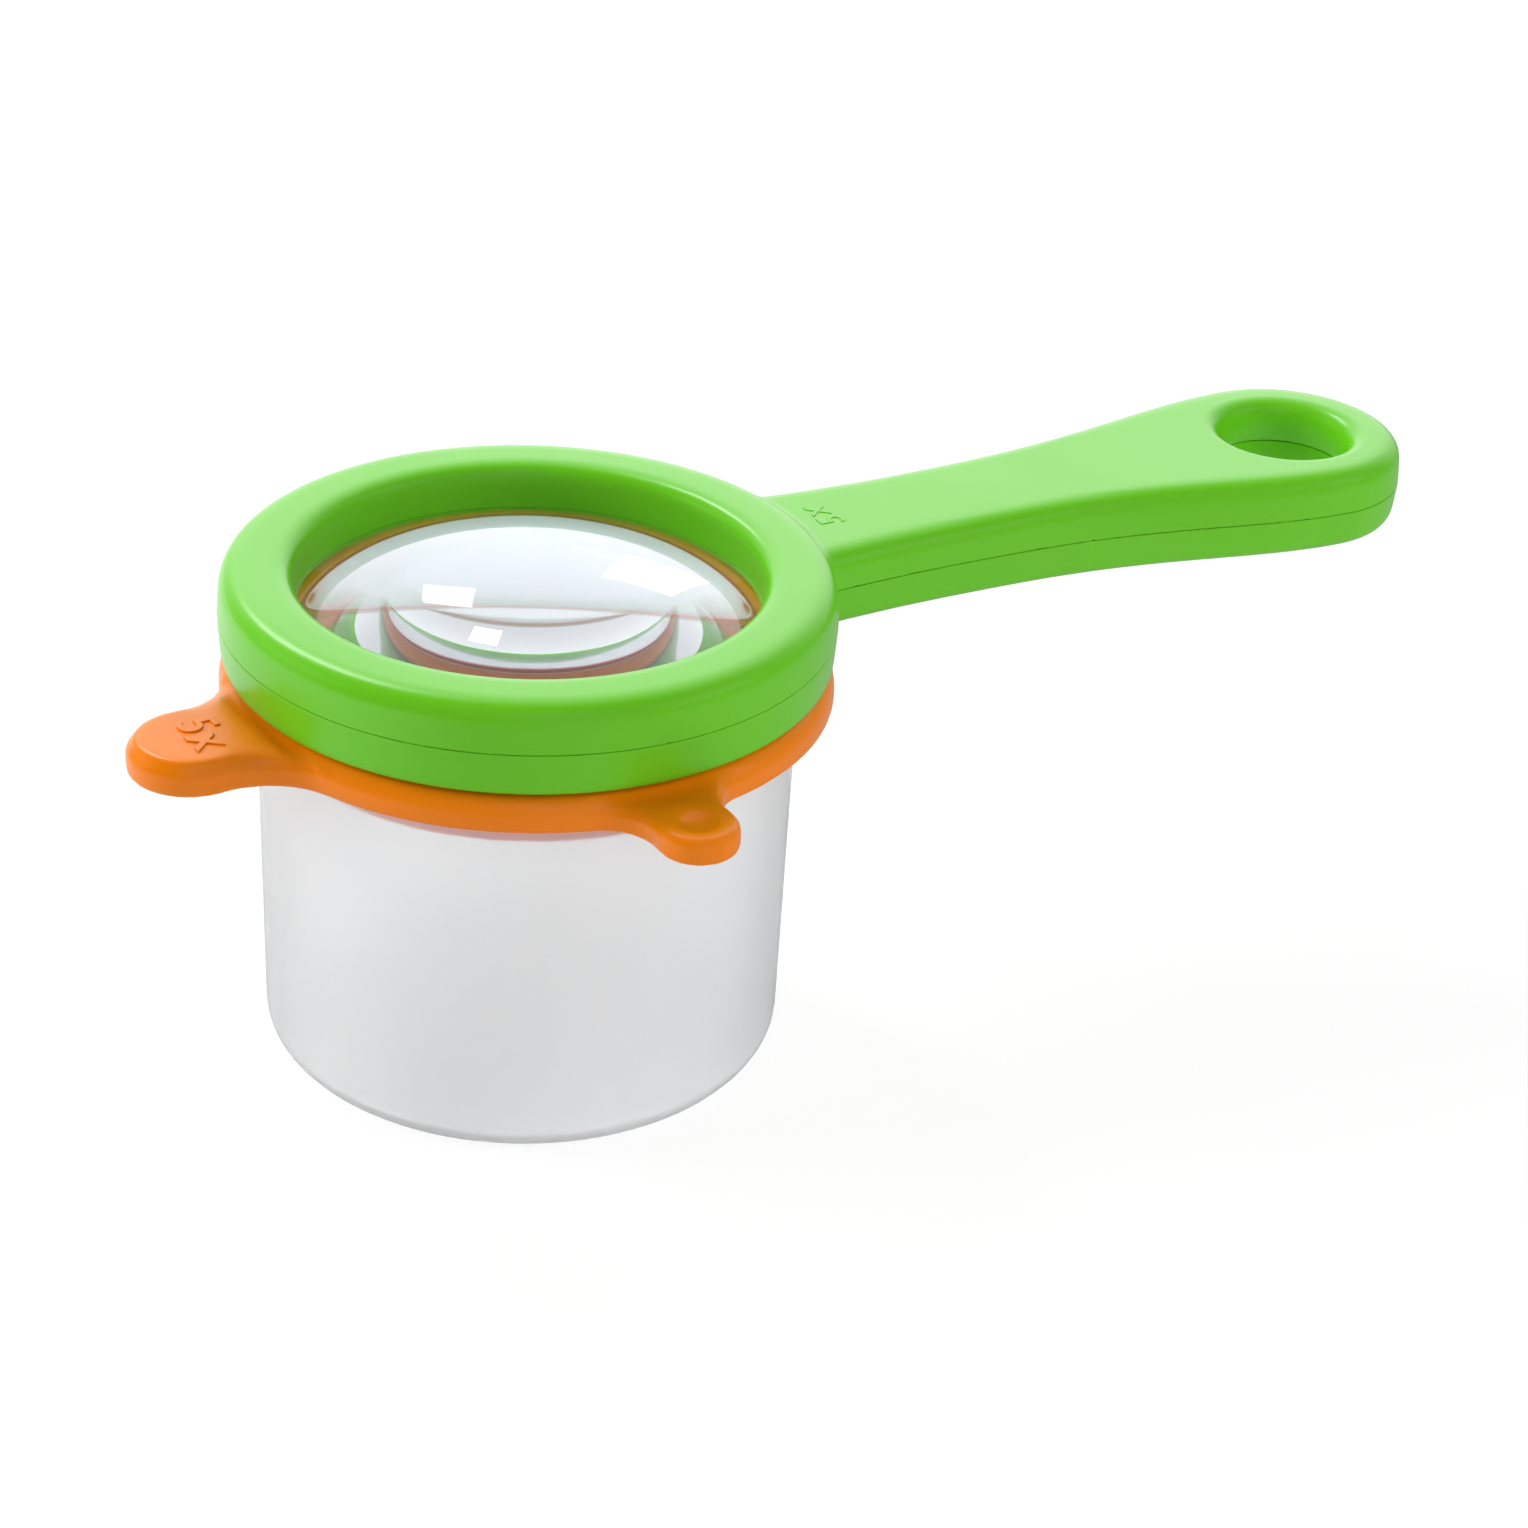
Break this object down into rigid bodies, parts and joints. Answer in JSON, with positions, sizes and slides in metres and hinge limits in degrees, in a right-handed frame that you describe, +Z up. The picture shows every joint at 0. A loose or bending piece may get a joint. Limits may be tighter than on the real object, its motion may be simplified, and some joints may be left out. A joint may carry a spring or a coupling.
{
  "type": "bug catcher jar",
  "caption": "Clear jar with a lens lid and pull tabs, and a long-handled hand magnifier that rests on the lid, lifts off and turns.",
  "frame": {"origin": "centre of the jar's flat base, on the surface it stands on", "axes": "+Z up along the jar's axis, +X along the magnifier's handle at rest"},
  "size_m": [0.1918, 0.0918, 0.0684],
  "materials": {
    "jar_plastic": "milky translucent polypropylene, satin",
    "lid_plastic": "satin moulded plastic, orange",
    "lens_plastic": "clear polished acrylic",
    "ring_plastic": "satin moulded plastic, red",
    "shell_plastic": "satin moulded plastic, bright green"
  },
  "bodies": {
    "jar": {"jar": "jar_plastic"},
    "lid_core": {"lid_lens": "lens_plastic", "lens_ring": "ring_plastic"},
    "lid": {"lid": "lid_plastic"},
    "magnifier_core": {"magnifier_lens": "lens_plastic"},
    "magnifier_shells": {"magnifier_bottom_shell": "shell_plastic", "magnifier_top_shell": "shell_plastic"}
  },
  "joints": [
    {"name": "lid_lift", "type": "slide", "parent": "jar", "child": "lid_core", "axis": [0, 0, 1], "range_m": [0, 0.06]},
    {"name": "lid_turn", "type": "hinge", "parent": "lid_core", "child": "lid", "pos_m": [0, 0, 0.0555], "axis": [0, 0, 1], "continuous": true},
    {"name": "magnifier_lift", "type": "slide", "parent": "lid", "child": "magnifier_core", "axis": [0, 0, 1], "range_m": [0, 0.06]},
    {"name": "magnifier_turn", "type": "hinge", "parent": "magnifier_core", "child": "magnifier_shells", "pos_m": [0, 0, 0.0622], "axis": [0, 0, 1], "continuous": true}
  ]
}
